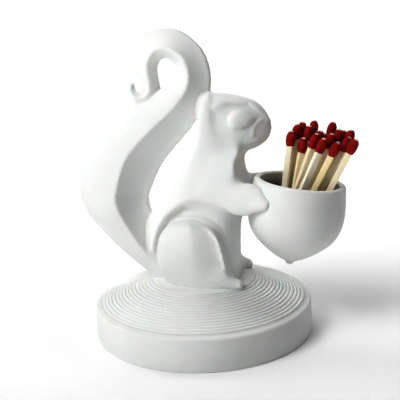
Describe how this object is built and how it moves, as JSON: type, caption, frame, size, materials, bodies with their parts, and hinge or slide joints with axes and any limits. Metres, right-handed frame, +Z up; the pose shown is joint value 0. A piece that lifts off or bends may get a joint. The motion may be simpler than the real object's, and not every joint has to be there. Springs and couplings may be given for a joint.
{
  "type": "match striker",
  "caption": "Unglazed white porcelain squirrel on a round ridged base for striking matches, its paws round an acorn-shaped cup that holds loose wooden matches.",
  "frame": {"origin": "centre of the round base's underside, which rests on the table", "axes": "+Z up, +X towards the cup that the squirrel faces, +Y to the squirrel's left"},
  "size_m": [0.1051, 0.0826, 0.1125],
  "materials": {
    "porcelain": "unglazed bisque, matt",
    "wood": "plain sawn splint",
    "match_composition": "dry dipped red composition"
  },
  "bodies": {
    "root": {"squirrel_holder": "porcelain", "match_stick_01": "wood", "match_stick_02": "wood", "match_stick_03": "wood", "match_stick_04": "wood", "match_stick_05": "wood", "match_stick_06": "wood", "match_stick_07": "wood", "match_stick_08": "wood", "match_stick_09": "wood", "match_stick_10": "wood", "match_stick_11": "wood", "match_stick_12": "wood", "match_stick_13": "wood", "match_stick_14": "wood", "match_stick_15": "wood", "match_stick_16": "wood", "match_stick_17": "wood", "match_stick_18": "wood", "match_head_01": "match_composition", "match_head_02": "match_composition", "match_head_03": "match_composition", "match_head_04": "match_composition", "match_head_05": "match_composition", "match_head_06": "match_composition", "match_head_07": "match_composition", "match_head_08": "match_composition", "match_head_09": "match_composition", "match_head_10": "match_composition", "match_head_11": "match_composition", "match_head_12": "match_composition", "match_head_13": "match_composition", "match_head_14": "match_composition", "match_head_15": "match_composition", "match_head_16": "match_composition", "match_head_17": "match_composition", "match_head_18": "match_composition"}
  },
  "joints": []
}
